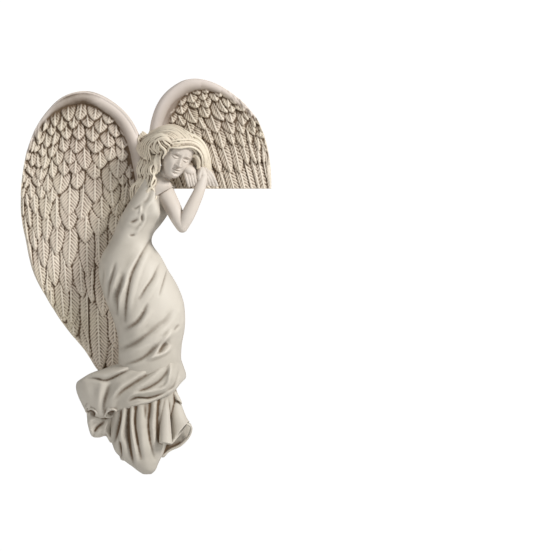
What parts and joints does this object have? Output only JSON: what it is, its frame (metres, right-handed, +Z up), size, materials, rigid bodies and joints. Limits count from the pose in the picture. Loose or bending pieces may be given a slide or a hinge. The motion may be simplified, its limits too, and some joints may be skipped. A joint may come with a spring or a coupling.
{
  "type": "door frame angel sculpture",
  "caption": "Winged angel relief that sits on the top corner of a door frame, leaning on it with folded arms, cast in one piece.",
  "frame": {"origin": "on the flat underside of the far wing, half way between the wall and the wing's face, where the casting rests on top of the door frame", "axes": "+Z up the wall, +X along the top of the door frame towards the wing's end, +Y into the wall"},
  "size_m": [0.1211, 0.0295, 0.1908],
  "materials": {
    "resin": "matte stone-filled resin, ivory with a warm brown wash in the grooves"
  },
  "bodies": {
    "root": {"angel": "resin"}
  },
  "joints": []
}
